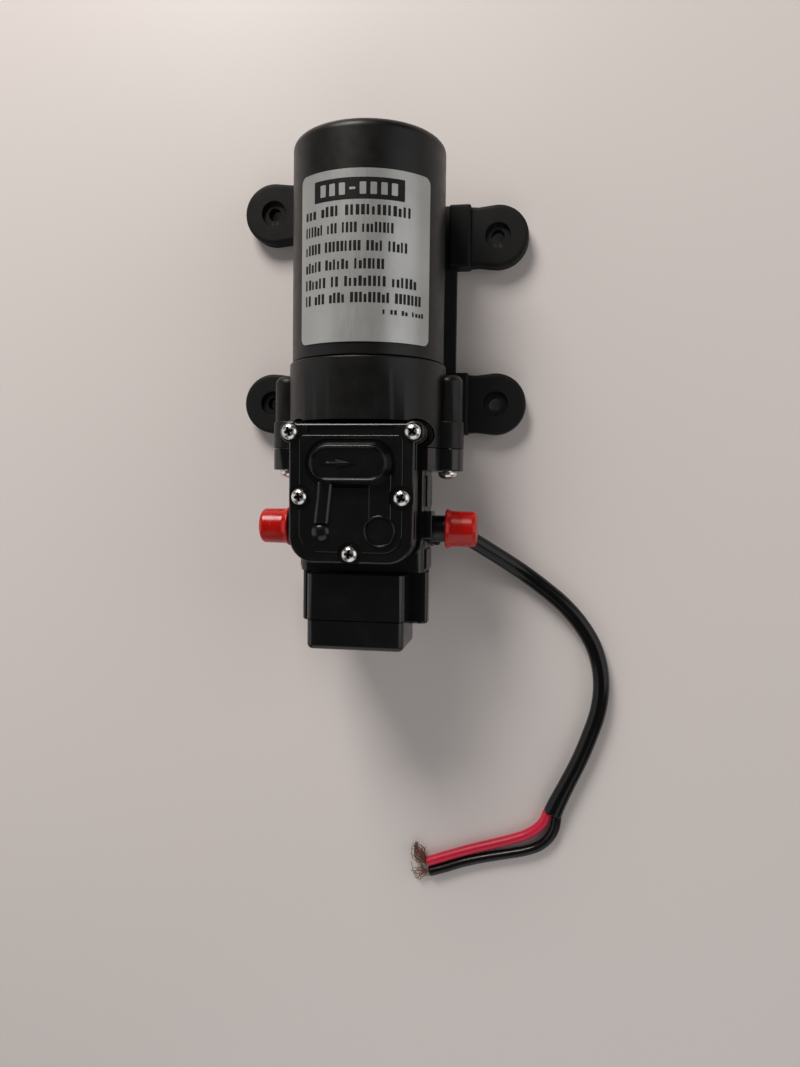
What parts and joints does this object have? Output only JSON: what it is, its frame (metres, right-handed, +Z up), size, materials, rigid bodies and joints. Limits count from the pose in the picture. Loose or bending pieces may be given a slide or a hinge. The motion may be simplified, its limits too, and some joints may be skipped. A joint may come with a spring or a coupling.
{
  "type": "diaphragm water pump",
  "caption": "Small 12 V motor-driven diaphragm water pump on rubber feet, with side hose ports, pressure switch and a free two-core lead.",
  "frame": {"origin": "centre of the footprint of the pump without its lead, on the surface that the feet stand on", "axes": "+Y along the motor axis towards the motor end, +Z up from the feet through the front cover, +X towards the outlet port and the lead"},
  "size_m": [0.1305, 0.2516, 0.0592],
  "materials": {
    "can_paint": "satin black paint on drawn steel",
    "bracket_paint": "satin black paint on pressed steel",
    "housing_plastic": "fine satin moulding",
    "head_plastic": "glossy black moulding",
    "port_plastic": "semi-gloss black moulding",
    "acetal": "natural white acetal",
    "button_red": "glossy red moulding",
    "label": "satin silver film with black print",
    "zinc": "bright zinc plate",
    "steel": "ground steel",
    "bronze": "sintered bronze",
    "copper": "enamelled copper",
    "bare_copper": "bare tinned-brown copper strands",
    "ferrite": "matt ferrite",
    "carbon": "carbon brush stock",
    "phenolic": "brown phenolic board",
    "epdm": "matt black rubber",
    "foot_rubber": "matt moulded rubber",
    "cap_vinyl": "glossy soft red vinyl",
    "jacket_pvc": "glossy black cable jacket",
    "red_pvc": "crimson wire insulation",
    "black_pvc": "glossy black wire insulation"
  },
  "bodies": {
    "frame": {"motor_can": "can_paint", "rear_bearing": "bronze", "magnet_left": "ferrite", "magnet_right": "ferrite", "brush_plate": "phenolic", "brush_left": "carbon", "brush_right": "carbon", "front_bearing": "bronze", "motor_end_plate": "zinc", "rating_label": "label", "drive_housing": "housing_plastic", "flange_screw_left": "zinc", "flange_screw_right": "zinc", "base_bracket": "bracket_paint", "rocker_pin": "steel", "diaphragm": "epdm", "valve_plate": "head_plastic", "outlet_valve": "epdm", "inlet_valve_left": "epdm", "inlet_valve_right": "epdm", "cover_gasket": "epdm", "front_cover": "head_plastic", "cover_screw_1": "zinc", "cover_screw_2": "zinc", "cover_screw_3": "zinc", "cover_screw_4": "zinc", "cover_screw_5": "zinc", "pump_head": "head_plastic", "inlet_port": "port_plastic", "outlet_port": "port_plastic", "switch_housing": "head_plastic", "switch_cover": "head_plastic", "switch_diaphragm": "epdm", "switch_spring": "steel", "microswitch": "port_plastic", "cable_gland": "foot_rubber", "power_cable": "jacket_pvc", "red_wire": "red_pvc", "black_wire": "black_pvc", "red_wire_strands": "bare_copper", "black_wire_strands": "bare_copper"},
    "rotor": {"motor_shaft": "steel", "armature_core": "steel", "armature_windings": "copper", "commutator": "copper", "cam_bearing": "steel"},
    "rocker_arm": {"rocker": "acetal", "piston_left": "acetal", "piston_right": "acetal", "piston_screw_left": "zinc", "piston_screw_right": "zinc"},
    "inlet_cap_body": {"inlet_cap": "cap_vinyl"},
    "outlet_cap_body": {"outlet_cap": "cap_vinyl"},
    "plunger": {"switch_plunger": "acetal"},
    "button": {"microswitch_button": "button_red"},
    "adjuster": {"adjusting_screw": "zinc"},
    "foot_ul": {"foot_upper_left": "foot_rubber"},
    "foot_ur": {"foot_upper_right": "foot_rubber"},
    "foot_ll": {"foot_lower_left": "foot_rubber"},
    "foot_lr": {"foot_lower_right": "foot_rubber"}
  },
  "joints": [
    {"name": "rotor_spin", "type": "hinge", "parent": "frame", "child": "rotor", "pos_m": [0, 0.0295, 0.03], "axis": [0, 1, 0], "continuous": true},
    {"name": "rocker_rock", "type": "hinge", "parent": "frame", "child": "rocker_arm", "pos_m": [0, -0.0285, 0.04], "axis": [0, 1, 0], "range_deg": [-4.5, 4.5], "deforming": ["diaphragm"]},
    {"name": "inlet_cap_pull", "type": "slide", "parent": "frame", "child": "inlet_cap_body", "axis": [-1, 0, 0], "range_m": [0, 0.022]},
    {"name": "outlet_cap_pull", "type": "slide", "parent": "frame", "child": "outlet_cap_body", "axis": [1, 0, 0], "range_m": [0, 0.022]},
    {"name": "plunger_travel", "type": "slide", "parent": "frame", "child": "plunger", "axis": [0, -1, 0], "range_m": [0, 0.001], "stiffness_N_per_m": 3000, "springref_m": -0.003, "deforming": ["switch_spring", "switch_diaphragm"]},
    {"name": "button_press", "type": "slide", "parent": "frame", "child": "button", "axis": [0, -1, 0], "range_m": [0, 0.001]},
    {"name": "adjuster_turn", "type": "hinge", "parent": "frame", "child": "adjuster", "pos_m": [0, -0.0775, 0.037], "axis": [0, 1, 0], "range_deg": [-180, 180]},
    {"name": "foot_upper_left_slide", "type": "slide", "parent": "frame", "child": "foot_ul", "axis": [0, 1, 0], "range_m": [-0.02, 0]},
    {"name": "foot_upper_right_slide", "type": "slide", "parent": "frame", "child": "foot_ur", "axis": [0, 1, 0], "range_m": [-0.01, 0.01]},
    {"name": "foot_lower_left_slide", "type": "slide", "parent": "frame", "child": "foot_ll", "axis": [0, 1, 0], "range_m": [0, 0.02]},
    {"name": "foot_lower_right_slide", "type": "slide", "parent": "frame", "child": "foot_lr", "axis": [0, 1, 0], "range_m": [0, 0.02]}
  ],
  "couplings": [
    {"joint": "button_press", "follows": "plunger_travel", "ratio": 1}
  ]
}
